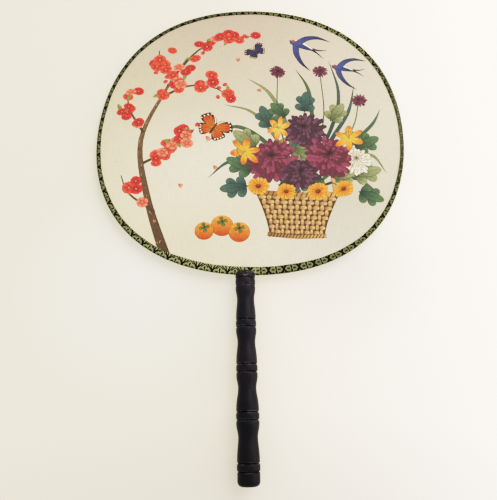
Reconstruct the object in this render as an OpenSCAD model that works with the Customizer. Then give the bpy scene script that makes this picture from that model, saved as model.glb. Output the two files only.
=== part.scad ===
// Round silk fan on a turned wooden handle: a wire hoop covered with silk, its edge bound in a folded tape,
// held by its two bent tails in the slotted crown of the handle.
// The fan lies face up. +Y runs up the handle from the middle of its butt, +Z is the face side, sizes in mm.

/* [Face] */
// Width of the face over the binding tape
face_w = 260.8; // [180:0.2:340]
// Height of the face over the binding tape
face_h = 258.6; // [180:0.2:340]
// How far the diagonals of the bent hoop stand out past an ellipse
hoop_square = 2.4; // [0:0.1:5]
// How much further the top of the hoop reaches from its centre than its foot does
hoop_egg = 0.8; // [0:0.1:2]
// How far the hoop is bent out at its upper right and lower left, and in at the other two corners
hoop_skew = 0.5; // [-2:0.1:2]
// Angle at which the hoop leans from the line of the handle, in degrees
hoop_lean = 3.1; // [-5:0.1:5]
// Thickness of the silk leaf
silk_t = 0.3; // [0.1:0.05:0.5]

/* [Hoop wire] */
// Diameter of the hoop's wire
wire_d = 2.4; // [1.8:0.1:3.4]
// Inner radius of the two bends where the hoop turns into its tails
bend_inner_r = 1.2; // [0.8:0.1:2]
// Length of each straight tail below its bend
tail_len = 30; // [15:1:45]

/* [Binding tape] */
// Thickness of the tape
tape_t = 0.25; // [0.1:0.05:0.4]
// Reach of the wide lap over the silk, past the wire: on the face at the foot, on the back at the top
lap_wide = 3.6; // [0.5:0.1:8]
// Reach of the narrow lap over the silk, past the wire: on the face at the top, on the back at the foot
lap_narrow = 0.5; // [0.1:0.1:3]
// How quickly the laps change places near the foot, from a slow 1 to a quick 8
lap_swing = 5; // [1:0.5:8]

/* [Handle] */
// Distance from the ring next to the butt to the one above it
ring_pitch = 33.3; // [27:0.1:45]
// How much shorter each bay between two rings is than the one below it
pitch_taper = 0.4; // [0:0.1:1]
// Width of a ring between the middles of its two grooves
ring_w = 5.4; // [4:0.1:8]
// Diameters of the rings turned on the handle, from the butt to the crown
ring_d = [16.2, 16.6, 15.7, 15.3, 15.2]; // [14.6:0.1:22]
// Diameters of the waists between them, from the butt to the crown
waist_d = [13.8, 13.1, 13.1, 13]; // [11:0.1:14.6]
// Place of a waist between two rings, as a share of the way up
waist_place = 0.6; // [0.3:0.05:0.7]
// Width of a groove
groove_w = 1.1; // [0.6:0.1:1.6]
// Depth of a groove
groove_depth = 0.7; // [0.2:0.1:1]
// Distance from the butt to the middle of the first ring
butt_len = 12; // [10:0.1:20]
// Diameter of the plain land at the butt
butt_d = 15.7; // [14:0.1:22]
// Radius of the butt's rounded edge
butt_round = 3.2; // [1:0.1:3.5]
// Distance from the middle of the last ring to the top of the crown
crown_len = 8.6; // [7.6:0.1:14]
// Diameter of the crown
crown_d = 15.3; // [14.6:0.1:22]
// How far the crown's rounded shoulder draws in at the top
shoulder_in = 2.6; // [0.5:0.1:3]
// Height of the crown's rounded shoulder
shoulder_h = 4.4; // [1:0.1:4.6]
// How deep the foot of the hoop sits below the top of the crown
seat_depth = 3; // [2.8:0.1:3.6]
// Diameter of the blind bore that takes the two tails
bore_d = 7.6; // [7.2:0.1:8.4]
// Extra depth of the bore below the tails
bore_spare = 2; // [0.5:0.5:6]

/* [Crown pin] */
// Diameter of the pin through the crown
pin_d = 1.8; // [1:0.1:1.9]
// Width of the shallow dimple over each end of the pin
dimple_d = 3.4; // [2.4:0.1:4]
// Depth of the dimple
dimple_depth = 0.6; // [0.2:0.1:1]

/* [Fits] */
// Clearance between pieces that are glued or pressed together
fit = 0.05; // [0.02:0.01:0.1]

/* [Hidden] */
$fn = 64;

RING_STEPS = 120; // stations round the hoop
WIRE_SIDES = 10;
BEND_STEPS = 5;
ARC_STEPS = 5; // steps of the tape's fold on each side of its outer edge
BAY_STEPS = 14; // steps between two rings of the handle
BEAD_STEPS = 6;
ROUND_STEPS = 6;
BEAD_DROP = 0.2; // how far a ring's edges lie below its crown
SWELL_HOLD = 1.3; // over 1 keeps a swell full for longer above its groove
EPS = 0.01;

wire_r = wire_d / 2;
inner_fold_r = wire_r + fit;
rim_r = inner_fold_r + tape_t;
rim_t = 2 * rim_r;
leaf_inset = rim_r + wire_r + fit;
lap_in_z = silk_t / 2 + fit;
lap_out_z = lap_in_z + tape_t;
foot = face_h / 2 - hoop_egg; // from the hoop's centre down to its outer edge
ring_count = len(ring_d);
crown_y = ring_y(ring_count - 1);
crown_top = crown_y + crown_len;
seat_y = crown_top - seat_depth;
slot_floor = seat_y - crown_d / 2 * sin(abs(hoop_lean)) - fit;
bend_r = bend_inner_r + wire_r;
tail_x = pin_d / 2 + 3 * fit + wire_r;
bend_x = tail_x + bend_r;
pin_y = seat_y - 0.3;

// How far the outer edge of the hoop lies from its centre: an ellipse of the face's width and height,
// with the diagonals pushed out, one of them a little more, and the top pushed up.
function rim_radius(a) =
  (face_w + face_h) / 4 + hoop_square
  + (face_w - face_h) / 4 * cos(2 * a) + hoop_skew * sin(2 * a)
  - hoop_square * cos(4 * a) - hoop_egg * sin(3 * a);

// Change of that distance per radian.
function rim_radius_slope(a) =
  -(face_w - face_h) / 2 * sin(2 * a) + 2 * hoop_skew * cos(2 * a)
  + 4 * hoop_square * sin(4 * a) - 3 * hoop_egg * cos(3 * a);

// Unit vector along the rim, anticlockwise.
function rim_heading(a) =
  let (r = rim_radius(a), s = rim_radius_slope(a))
  [s * cos(a) - r * sin(a), s * sin(a) + r * cos(a)] / norm([r, s]);

// Point at a distance inwards from the outer edge.
function rim_point(a, inset) =
  let (h = rim_heading(a))
  rim_radius(a) * [cos(a), sin(a)] + inset * [-h[1], h[0]];

// Stands the hoop's foot on its seat in the crown and leans it about that seat.
function on_handle(p) =
  let (up = p[1] + foot)
  [p[0] * cos(hoop_lean) + up * sin(hoop_lean), seat_y - p[0] * sin(hoop_lean) + up * cos(hoop_lean)];

function raised(p, z) = [p[0], p[1], z];

// Share of the wide lap that lies on the face, from almost 0 at the top to 1 at the foot.
function lap_share(a) = pow((1 - sin(a)) / 2, lap_swing);
function face_lap(a) = lap_narrow + (lap_wide - lap_narrow) * lap_share(a);
function back_lap(a) = lap_wide + lap_narrow - face_lap(a);

// Surface over closed rings of points; the rings join end to end or are closed by two flat caps.
module skin(rings, joined) {
  n = len(rings[0]);
  m = len(rings);
  last = joined ? m - 1 : m - 2;
  walls = [for (i = [0:last], j = [0:n - 1])
    let (a = i * n, b = (i + 1) % m * n, k = (j + 1) % n)
    each [[a + j, a + k, b + k], [a + j, b + k, b + j]]];
  caps = joined ? [] : [[for (j = [n - 1:-1:0]) j], [for (j = [0:n - 1]) (m - 1) * n + j]];
  polyhedron(points = [for (r = rings) each r], faces = concat(walls, caps), convexity = 6);
}

// Profile of the handle as [radius, height] points, from the butt to the crown.
function ring_y(i) = butt_len + i * ring_pitch - i * (i - 1) / 2 * pitch_taper;
function ring_r(i) = ring_d[i] / 2;
function waist_r(i) = waist_d[i] / 2;

function groove(y, r) = [for (t = [-2:2])
  [r - groove_depth * cos(45 * t), y + groove_w / 4 * t]];

function bead(i) = [for (t = [-BEAD_STEPS / 2 + 1:BEAD_STEPS / 2 - 1])
  let (u = 2 * t / BEAD_STEPS)
  [ring_r(i) - BEAD_DROP * u * u, ring_y(i) + u * (ring_w - groove_w) / 2]];

function ringed(i) = concat(
  groove(ring_y(i) - ring_w / 2, ring_r(i) - BEAD_DROP),
  bead(i),
  groove(ring_y(i) + ring_w / 2, ring_r(i) - BEAD_DROP));

// From a swell above one ring down to the waist and up to the swell below the next.
function bay(i) =
  let (low = ring_y(i) + (ring_w + groove_w) / 2, high = ring_y(i + 1) - (ring_w + groove_w) / 2)
  [for (k = [1:BAY_STEPS - 1])
    let (
      u = k / BAY_STEPS,
      below = u < waist_place,
      w = pow(below ? u / waist_place : (1 - u) / (1 - waist_place), SWELL_HOLD),
      swell = below ? ring_r(i) - BEAD_DROP : ring_r(i + 1))
    [waist_r(i) + (swell - waist_r(i)) * (1 + cos(180 * w)) / 2, low + u * (high - low)]];

function handle_profile() = concat(
  [[0, 0]],
  [for (k = [0:ROUND_STEPS])
    let (a = 90 * k / ROUND_STEPS)
    [butt_d / 2 - butt_round * (1 - sin(a)), butt_round * (1 - cos(a))]],
  [[butt_d / 2, butt_len - ring_w / 2 - 1.4 * groove_w]],
  [for (i = [0:ring_count - 1]) each concat(ringed(i), i < ring_count - 1 ? bay(i) : [])],
  [for (k = [0:ROUND_STEPS])
    let (a = 90 * k / ROUND_STEPS)
    [crown_d / 2 - shoulder_in * (1 - cos(a)), crown_top - shoulder_h * (1 - sin(a))]],
  [[0, crown_top]]);

module along_handle(y) {
  translate([0, y, 0]) rotate([-90, 0, 0]) children();
}

// Turned handle with its crown slotted for the rim, bored for the tails and drilled for the pin.
module handle() {
  slot_t = rim_t + 2 * fit;
  bore_floor = tail_foot_y() - bore_spare;
  color("#1e1c1d")
  difference() {
    along_handle(0) rotate_extrude() polygon(handle_profile());
    translate([-crown_d, slot_floor, -slot_t / 2]) cube([2 * crown_d, crown_top - slot_floor + 1, slot_t]);
    along_handle(bore_floor) cylinder(d = bore_d, h = slot_floor - bore_floor + EPS);
    translate([0, pin_y, -crown_d]) cylinder(d = pin_d + 2 * fit, h = 2 * crown_d);
    for (side = [-1, 1]) translate([0, pin_y, side * dimple_z()]) sphere(r = dimple_r());
  }
}

// A dimple is a cap cut by a ball of this radius, its centre this far from the axis.
function dimple_r() = (dimple_d * dimple_d / 4 + dimple_depth * dimple_depth) / (2 * dimple_depth);
function dimple_z() = crown_d / 2 - dimple_depth + dimple_r();

// Turn of the rim where it goes over into a bend on the right (1) or left (-1).
function joint_angle(side) =
  let (x = side * bend_x + bend_r * sin(hoop_lean))
  -90 + asin((x - rim_r * sin(hoop_lean)) / cos(hoop_lean) / (foot - rim_r));

function bend_centre(side) =
  let (p = on_handle(rim_point(joint_angle(side), rim_r)))
  [side * bend_x, p[1] - bend_r * cos(hoop_lean)];

// Lowest point of the tails.
function tail_foot_y() = min(bend_centre(1)[1], bend_centre(-1)[1]) - tail_len;

// A ring of points round the wire at point p, where n points to the left of the wire's heading.
function wire_ring(p, n) = [for (k = [0:WIRE_SIDES - 1])
  let (a = 360 * k / WIRE_SIDES, q = p + wire_r * cos(a) * n)
  raised(q, wire_r * sin(a))];

function bend_rings(side, from, to) =
  let (c = bend_centre(side))
  [for (k = [0:BEND_STEPS])
    let (a = from + (to - from) * k / BEND_STEPS, n = [cos(a), sin(a)])
    wire_ring(c + bend_r * n, n)];

// Wire hoop: up the right tail, anticlockwise round the rim and down the left tail.
module hoop_wire() {
  first = joint_angle(1);
  turn = 360 + joint_angle(-1) - first;
  level = 90 - hoop_lean;
  rim = [for (k = [1:RING_STEPS - 1])
    let (a = first + turn * k / RING_STEPS,
         p = on_handle(rim_point(a, rim_r)),
         q = on_handle(rim_point(a, rim_r + 1)))
    wire_ring(p, q - p)];
  color("#8b8d90")
  skin(concat(
    [wire_ring([tail_x, tail_foot_y()], [-1, 0])],
    bend_rings(1, 180, level),
    rim,
    bend_rings(-1, level, 0),
    [wire_ring([-tail_x, tail_foot_y()], [1, 0])]), false);
}

// Flat leaf of silk, out to the inner side of the wire.
module silk_leaf() {
  color("#e2dac6")
  translate([0, 0, -silk_t / 2])
  linear_extrude(silk_t)
  polygon([for (k = [0:RING_STEPS - 1]) on_handle(rim_point(360 * k / RING_STEPS, leaf_inset))]);
}

// One face of the fold as [distance in from the rim's edge, height] points: from the lap's edge along a
// straight stretch that meets the fold's arc as a tangent, and round the arc to the outer edge.
function fold_side(reach, edge_z, r) =
  let (x = rim_t + reach - rim_r,
       start = atan2(edge_z, x) + acos(r / norm([x, edge_z])))
  concat(
    [[rim_t + reach, edge_z]],
    [for (k = [0:ARC_STEPS])
      let (a = start + (180 - start) * k / ARC_STEPS)
      [rim_r + r * cos(a), r * sin(a)]]);

function without_last(list) = [for (k = [0:len(list) - 2]) list[k]];
function reversed(list) = [for (k = [len(list) - 1:-1:0]) list[k]];
function turned_over(list) = [for (p = list) [p[0], -p[1]]];

// Whole section of the tape at one place: outer skin from the face round to the back, inner skin back again.
function tape_section(a) =
  let (
    face_out = fold_side(face_lap(a), lap_out_z, rim_r),
    back_out = turned_over(fold_side(back_lap(a), lap_out_z, rim_r)),
    face_in = fold_side(face_lap(a), lap_in_z, inner_fold_r),
    back_in = turned_over(fold_side(back_lap(a), lap_in_z, inner_fold_r)))
  concat(face_out, reversed(without_last(back_out)), back_in, reversed(without_last(face_in)));

// Brocade tape folded over the rim, open at the foot inside the crown where the tails pass.
module binding_tape() {
  rings = [for (k = [0:RING_STEPS - 1])
    let (a = 360 * k / RING_STEPS)
    [for (s = tape_section(a)) raised(on_handle(rim_point(a, s[0])), s[1])]];
  gap = 2 * (bend_x + 2 * fit);
  color("#93a066")
  difference() {
    skin(rings, true);
    translate([0, seat_y, 0]) rotate(-hoop_lean)
      translate([-gap / 2, -rim_t, -rim_t]) cube([gap, rim_t + rim_r + wire_r + 2 * fit, 2 * rim_t]);
  }
}

// Headless pin between the tails, just below the skin of the crown.
module crown_pin() {
  reach = crown_d / 2 - dimple_depth;
  color("#3a3532")
  translate([0, pin_y, -reach]) cylinder(d = pin_d, h = 2 * reach);
}

handle();
hoop_wire();
silk_leaf();
binding_tape();
crown_pin();
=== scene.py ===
"""Looks of a round silk fan: printed silk on a hoop, bound in brocade tape, on a black lacquered handle.

The fan lies face up on a pale surface, in the frame of its model: +Y runs up the handle from the middle
of its butt and +Z is the face side. Shapes are worked out in millimetres and stored in metres.
"""

import functools
import math

import bpy
import numpy as np
from mathutils import Matrix, Vector
from mathutils.bvhtree import BVHTree
from mathutils.geometry import delaunay_2d_cdt


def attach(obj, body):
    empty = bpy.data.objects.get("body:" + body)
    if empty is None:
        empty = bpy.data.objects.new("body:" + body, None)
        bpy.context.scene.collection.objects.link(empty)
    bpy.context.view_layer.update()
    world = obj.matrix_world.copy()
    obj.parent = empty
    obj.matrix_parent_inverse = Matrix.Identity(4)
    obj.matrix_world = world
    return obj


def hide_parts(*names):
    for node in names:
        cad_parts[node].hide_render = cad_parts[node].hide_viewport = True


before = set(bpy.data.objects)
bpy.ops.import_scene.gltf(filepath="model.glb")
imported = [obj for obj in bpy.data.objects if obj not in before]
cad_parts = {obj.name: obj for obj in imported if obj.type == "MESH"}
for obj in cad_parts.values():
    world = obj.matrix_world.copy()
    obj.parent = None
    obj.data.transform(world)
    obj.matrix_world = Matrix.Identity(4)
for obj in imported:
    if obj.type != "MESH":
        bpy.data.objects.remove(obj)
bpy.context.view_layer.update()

MM = 0.001

# The hoop, with the sizes that it has in the model.
FACE_W = 260.8
FACE_H = 258.6
HOOP_SQUARE = 2.4
HOOP_EGG = 0.8
HOOP_SKEW = 0.5
HOOP_LEAN = math.radians(3.1)
SEAT_Y = 148.4
FOOT = FACE_H / 2 - HOOP_EGG
WIRE_R = 1.2
FIT = 0.05
TAPE_T = 0.25
INNER_FOLD_R = WIRE_R + FIT
RIM_R = INNER_FOLD_R + TAPE_T
LEAF_INSET = RIM_R + WIRE_R + FIT
SILK_T = 0.3

# Corners of the print closer than this are one.
MERGED = 0.0001

# The tape's laps over the silk, past the wire, and the gap that it leaves for the hoop's tails.
LAP_WIDE = 3.6
LAP_NARROW = 0.5
LAP_SWING = 5
LAP_IN_Z = SILK_T / 2 + FIT
LAP_OUT_Z = LAP_IN_Z + TAPE_T
TAPE_GAP = 9.5

# Middles of the rings turned on the handle, the distance between a ring's grooves, and the pin's height.
RINGS = (12.0, 45.3, 78.2, 110.7, 142.8)
RING_W = 5.4
PIN_Y = SEAT_Y - 0.3

# The tape's seam lies right of the handle. Its knots repeat at one length and stand in rows at the other.
SEAM_AT = 7.8
REPEAT = 11.8
KNOT_ROW = 11.4

# Smooth shading stops at an edge of the tape that is sharper than this.
CREASE = math.radians(50)

# Painted light and shade on the bare silk, each with its place and reach: painted shade at the top and on
# the right, and painted pools of light in the middle and at the foot.
SILK_TONES = (
    ((-5, 420), (210, 160), (0.81, 0.70, 0.75)),
    ((-38, 248), (92, 66), (1.09, 1.09, 1.22)),
    ((76, 232), (62, 110), (0.855, 0.865, 0.9)),
    ((45, 165), (80, 50), (1.05, 1.06, 1.18)),
)

# Glow of the board at its left and right, as linear light, since it passes white: painted light that lifts
# the shadows on it and grows to the right. Its tones are painted shade at the near edge, a painted shadow
# under the rim right of the handle, dimmer further right, and brighter and bluer left of the handle.
BOARD_GLOW_LEFT = (0.46, 0.43, 0.28, 1)
BOARD_GLOW_RIGHT = (1.06, 0.93, 0.8, 1)
BOARD_TONES = (
    ((0, -50), (300, 100), (0.52, 0.5, 0.52)),
    ((85, 155), (70, 65), (0.66, 0.7, 0.73)),
    ((120, 20), (120, 120), (0.9, 0.94, 0.96)),
    ((-85, 145), (100, 90), (1.16, 1.24, 1.6)),
)

# Camera of the photograph, in the plane that the fan lies in: X right, Y up the picture, in mm.
CAMERA_AT = (0.0, -129.7, 370.65)
CAMERA_TILT = math.radians(19.29)
CAMERA_LENS = 36.0
PLANE_TURN = math.radians(1.13)
PLANE_SHIFT = (0.35, -168.95)

# Points that the fan lies on: the underside of the handle's crown and of the rim's top.
REST_NEAR = (147.0, -7.65)
REST_FAR = (405.4, -1.5)


def linear(code):
    """Opaque colour of an sRGB hex code such as 8a9c5b, in the linear values that a shader takes."""
    parts = [int(code[i : i + 2], 16) / 255 for i in (0, 2, 4)]
    return [p / 12.92 if p < 0.04045 else ((p + 0.055) / 1.055) ** 2.4 for p in parts] + [1.0]


def add_node(tree, kind, inputs=None, output=0, **settings):
    """Adds a shader node and gives its output of this name or number.

    The inputs are values, or the sockets that they are linked to, by name or number.
    """
    made = tree.nodes.new("ShaderNode" + kind)
    for name, value in settings.items():
        setattr(made, name, value)
    for name, value in (inputs or {}).items():
        if isinstance(value, bpy.types.NodeSocket):
            tree.links.new(value, made.inputs[name])
        else:
            made.inputs[name].default_value = value
    return made.outputs[output]


def blank_material(name):
    """A new material whose node tree holds only its output, and the function that adds nodes to it."""
    made = bpy.data.materials.new(name)
    made.use_nodes = True
    tree = made.node_tree
    tree.nodes.clear()
    tree.nodes.new("ShaderNodeOutputMaterial")
    return made, functools.partial(add_node, tree)


def finish_material(material, shader):
    """Links a shader to the material's output."""
    tree = material.node_tree
    tree.links.new(shader, tree.nodes["Material Output"].inputs["Surface"])


def rim_frame(angle):
    """Outer edge of the hoop at an angle: its points and the unit vectors pointing inwards.

    The radius is an ellipse's of the face's width and height, with the diagonals pushed out by
    HOOP_SQUARE cos 4a, one of them further by HOOP_SKEW sin 2a, and the top pushed up by
    HOOP_EGG sin 3a; the inward vector is square to the edge.
    """
    mean, half = (FACE_W + FACE_H) / 4, (FACE_W - FACE_H) / 4
    r = mean + HOOP_SQUARE + half * np.cos(2 * angle) + HOOP_SKEW * np.sin(2 * angle)
    r = r - HOOP_SQUARE * np.cos(4 * angle) - HOOP_EGG * np.sin(3 * angle)
    s = -2 * half * np.sin(2 * angle) + 2 * HOOP_SKEW * np.cos(2 * angle)
    s = s + 4 * HOOP_SQUARE * np.sin(4 * angle)
    s = s - 3 * HOOP_EGG * np.cos(3 * angle)
    along = np.stack([s * np.cos(angle) - r * np.sin(angle), s * np.sin(angle) + r * np.cos(angle)], -1)
    along /= np.linalg.norm(along, axis=-1, keepdims=True)
    inward = np.stack([-along[..., 1], along[..., 0]], -1)
    return r[..., None] * np.stack([np.cos(angle), np.sin(angle)], -1), inward


def on_handle(points):
    """Stands the hoop's foot on its seat in the crown and leans it about that seat, as the model does."""
    x, up = points[..., 0], points[..., 1] + FOOT
    cos, sin = math.cos(HOOP_LEAN), math.sin(HOOP_LEAN)
    return np.stack([x * cos + up * sin, SEAT_Y - x * sin + up * cos], -1)


def mesh_object(name, points, faces, smooth=True):
    """Object at the origin from points in millimetres and faces given as lists of corners."""
    mesh = bpy.data.meshes.new(name)
    mesh.from_pydata((np.asarray(points) * MM).tolist(), [], faces)
    mesh.polygons.foreach_set("use_smooth", np.full(len(mesh.polygons), smooth))
    made = bpy.data.objects.new(name, mesh)
    bpy.context.collection.objects.link(made)
    return made


def store(made, name, domain, values):
    """Gives each point or corner of a mesh its number, vector or colour, for its material to read."""
    kinds = {1: ("FLOAT", "value"), 3: ("FLOAT_VECTOR", "vector"), 4: ("FLOAT_COLOR", "color")}
    values = np.asarray(values, float)
    kind, field = kinds[values.size // len(values)]
    layer = made.data.attributes.new(name, kind, domain)
    layer.data.foreach_set(field, values.ravel())


def grid_faces(rows, columns, wrap):
    """Quads of a grid of points stored row by row; wrap joins each row's last point to its first."""
    i = np.arange(rows - 1)[:, None] * columns
    j = np.arange(columns if wrap else columns - 1)[None]
    k = (j + 1) % columns
    return np.stack([i + j, i + k, i + columns + k, i + columns + j], -1).reshape(-1, 4)


def fold_side(reach, edge_z, radius, steps):
    """One face of the tape's fold as insets and heights, one row for each place round the hoop.

    From the lap's edge a straight line meets the arc about the wire as a tangent, and the arc goes on
    to the outer edge. The arc's start is the lap edge's bearing from the wire plus acos(radius / distance).
    """
    x = reach + RIM_R
    start = np.arctan2(edge_z, x) + np.arccos(radius / np.hypot(edge_z, x))
    a = start[:, None] + (math.pi - start[:, None]) * np.linspace(0, 1, steps + 1)[None]
    inset = np.concatenate([(reach + 2 * RIM_R)[:, None], RIM_R + radius * np.cos(a)], 1)
    height = np.concatenate([np.full((len(x), 1), edge_z), radius * np.sin(a)], 1)
    return inset, height


def lap_drift(angle):
    """How much wider the lap was laid on the face than the model has it, at each place, in mm."""
    turn = np.degrees(angle) % 360
    places = [0, 10, 20, 32, 60, 75, 88, 140, 165, 200, 212, 290, 302, 314, 335, 350, 360]
    widths = [-0.3, 0.2, 0.7, 1.0, 1.0, 0.7, 0, 0, -0.3, -0.25, 0, 0, -0.4, -0.6, -0.3, -0.4, -0.3]
    return np.interp(turn, places, widths)


def tape_laps(angle):
    """Width of the tape's lap past the wire at each place, on the face and on the back, in mm.

    The lap swings between its two widths by a power of (1 - sin a) / 2, and the back has what the face
    lacks. The face's lap drifts from that, and its cut edge wavers a little.
    """
    share = ((1 - np.sin(angle)) / 2) ** LAP_SWING
    face = LAP_NARROW + (LAP_WIDE - LAP_NARROW) * share
    back = LAP_WIDE + LAP_NARROW - face
    waver = 0.1 * np.sin(19 * angle + 1) + 0.06 * np.sin(47 * angle)
    return face + lap_drift(angle) + waver, back


def pattern_offset(angle):
    """How far a row of knots lies from the hoop's outer edge, measured over the face of the tape, in mm.

    The tape was cut a little off its grain, so the row drifts outwards from its seam: it leaves over the edge
    right of the middle, and the next row comes in from the lap before the top.
    """
    turn = np.degrees(angle + math.pi / 2) % 360
    places = [0, 12, 30, 45, 55, 65, 75, 90, 110, 130, 150, 178, 205, 233, 245, 255, 300, 330, 360]
    insets = [4.2, 4.1, 3.2, 2.2, 1.6, 0.9, -1.1, -2.3, -3.8, -6.0]
    insets += [x - KNOT_ROW for x in (2.8, 2.0, 1.9, 2.0, 1.75, 1.4, 1.5, 1.3, 1.2)]
    return np.interp(turn, places, insets)


def knots_passed(along):
    """Number of repeats before a place on the tape, which was eased here and stretched there."""
    places = [-12.0, 10.2, 71.0, 380.2, 473.6, 741.2, 801.0, 860.0]
    repeats = [-1.87, 0, 5, 31.5, 39.5, 62.5, 67.5, 72.5]
    return np.interp(along, places, repeats)


def painted_tape_shade(angle):
    """Share of painted shade on the tape at each place round the hoop, from 0 to 1, most at the upper left.
    """
    turn = np.degrees(angle) % 360
    places = [0, 30, 60, 90, 120, 150, 180, 210, 225, 245, 265, 285, 300, 330, 345, 360]
    shares = [0.44, 0.44, 0.36, 0.66, 0.95, 0.9, 0.8, 0.62, 0.42, 0.1, 0.12, 0.48, 0.56, 0.62, 0.52, 0.44]
    return np.interp(turn, places, shares)


def open_for_tails(made):
    """Cuts the fold away at the foot, where the hoop's tails go down into the handle; the laps run on."""
    reach = 2 * RIM_R + LEAF_INSET + FIT
    sides = np.array([-TAPE_GAP / 2, TAPE_GAP / 2])
    heights = np.array([-2 * RIM_R, reach - 2 * RIM_R])
    corners = [(x, y - FOOT, z) for z in (-2 * RIM_R, 2 * RIM_R) for y in heights for x in sides]
    points = np.array(corners)
    points[:, :2] = on_handle(points[:, :2])
    faces = [[0, 2, 3, 1], [4, 5, 7, 6], [0, 1, 5, 4], [2, 6, 7, 3], [0, 4, 6, 2], [1, 3, 7, 5]]
    tool = mesh_object("tail_gap", points, faces, smooth=False)
    cut = made.modifiers.new("tail_gap", "BOOLEAN")
    cut.operation = "DIFFERENCE"
    cut.solver = "EXACT"
    cut.object = tool
    graph = bpy.context.evaluated_depsgraph_get()
    made.data = bpy.data.meshes.new_from_object(made.evaluated_get(graph))
    made.modifiers.clear()
    bpy.data.objects.remove(tool)


def brocade_figures(add, place):
    """Signed distances in mm from the brocade's near-black figures and from its brown ovals.

    Knots stand in rows, and every other row is shifted by half a repeat. Strokes slant from each knot to
    the next row, a bar crosses the row halfway between knots, and an oval lies on each side of it. A cell
    of half a repeat by one row is the same turned upside down, so its marks are drawn once and looked up
    twice. A mark is a stroke from one point to another with a half width. Threads step the edges, and
    the weave wanders a little.
    """
    half = REPEAT / 2
    knot = [((0, 0), (0, 0.9), 1.05)]
    rays = [((0.4, 1.3), (1.75, 5.6), 0.54), ((1.0, 1.3), (4.0, 5.3), 0.58), ((3.4, 2.5), (5.6, 4.9), 0.5)]
    bars = [((half, 0), (half, 3.0), 0.52), ((half, 1.6), (half, 2.4), 0.75)]
    ovals = [((3.1, 0), (4.2, 0), 0.64)]
    thread, wander, wander_every = 0.22, 0.6, 2.0
    stepped = add("VectorMath", {0: place, 1: (thread, thread, 1)}, operation="SNAP")
    noise = add("TexNoise", {"Vector": place, "Scale": 1 / wander_every, "Detail": 1.0}, output="Color")
    shift = add("VectorMath", {0: noise, 1: (0.5, 0.5, 0.5)}, operation="SUBTRACT")
    moved = add("VectorMath", {0: shift, 1: (wander, wander, 0), 2: stepped}, operation="MULTIPLY_ADD")
    x, y = (add("SeparateXYZ", {0: moved}, output=axis) for axis in "XY")
    x = add("Math", {0: x, 1: half}, operation="PINGPONG")
    y = add("Math", {0: y, 1: KNOT_ROW}, operation="PINGPONG")
    cell = add("CombineXYZ", {0: x, 1: y})
    turned = add("VectorMath", {0: (half, KNOT_ROW, 0), 1: cell}, operation="SUBTRACT")
    distances = []
    for marks in (knot + rays + bars, ovals):
        least = None
        for start, end, wide in marks:
            way = (end[0] - start[0], end[1] - start[1], 0)
            square = way[0] ** 2 + way[1] ** 2
            unit = (way[0] / square, way[1] / square, 0)
            for spot in (cell, turned):
                off = add("VectorMath", {0: spot, 1: (*start, 0)}, operation="SUBTRACT")
                share = add("VectorMath", {0: off, 1: unit}, output="Value", operation="DOT_PRODUCT")
                held = add("Clamp", {0: share})
                foot = add("VectorMath", {0: way, "Scale": held}, operation="SCALE")
                gap = add("VectorMath", {0: off, 1: foot}, output="Value", operation="DISTANCE")
                far = add("Math", {0: gap, 1: wide}, operation="SUBTRACT")
                least = far if least is None else add("Math", {0: least, 1: far}, operation="MINIMUM")
        distances.append(least)
    return distances


def brocade():
    """Brocade woven in pale green silk with near-black figures: a soft sheen on a ribbed weave.

    It is paler round the figures, spotted with rust, darkened by painted shade round the hoop, and frayed to
    its pale threads at the cut end. Its ribs are 0.5 mm apart.
    """
    tone_size, blot_size, rib = 8.333, 11.11, 0.5067
    material, add = blank_material("brocade_tape")
    place = add("UVMap", uv_map="cut")
    dark, oval = brocade_figures(add, place)
    figure = add("MapRange", {"Value": dark, "From Min": 0.08, "From Max": -0.06})
    halo = add("MapRange", {"Value": dark, "From Min": 0.45, "From Max": 0.15})
    oval = add("MapRange", {"Value": oval, "From Min": 0.15, "From Max": -0.15})
    tone = add("TexNoise", {"Vector": place, "Scale": 1 / tone_size, "Detail": 3.0})
    blot = add("TexNoise", {"Vector": place, "Scale": 1 / blot_size, "Detail": 2.0})
    rust = add("MapRange", {"Value": blot, "From Min": 0.7, "From Max": 0.76, "To Max": 0.6})
    cloth = add("Mix", {0: tone, 6: linear("747c4c"), 7: linear("939968")}, 2, data_type="RGBA")
    for share, colour in ((halo, "b0b48c"), (oval, "24220f"), (figure, "0d0c07"), (rust, "6e3626")):
        cloth = add("Mix", {0: share, 6: cloth, 7: linear(colour)}, 2, data_type="RGBA")
    # Painted shade: the tape darkens by its place round the hoop, most at the upper left.
    shade_share = add("Attribute", output="Fac", attribute_name="painted_shade")
    shaded = add("MapRange", {"Value": shade_share, "To Min": 1.0, "To Max": 0.3})
    cloth = add("VectorMath", {0: cloth, "Scale": shaded}, operation="SCALE")
    end = add("Attribute", output="Fac", attribute_name="frayed")
    end = add("MapRange", {"Value": end, "From Min": 0.6, "From Max": 0.9, "To Max": 0.7})
    cloth = add("Mix", {0: end, 6: cloth, 7: linear("c9c6a2")}, 2, data_type="RGBA")
    wave = {"Vector": place, "Scale": math.pi / (10 * rib), "Distortion": 0.6, "Detail": 1.0}
    ribs = add("TexWave", wave | {"Detail Scale": 2.0}, output="Fac", bands_direction="X")
    relief = add("Math", {0: figure, 1: -0.5, 2: ribs}, operation="MULTIPLY_ADD")
    bump = add("Bump", {"Height": relief, "Strength": 0.5, "Distance": 0.06 * MM})
    surface = {"Base Color": cloth, "Roughness": 0.62, "Specular IOR Level": 0.12, "Normal": bump}
    surface |= {"Sheen Weight": 0.04, "Sheen Roughness": 0.4}
    finish_material(material, add("BsdfPrincipled", surface))
    return material


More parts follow.
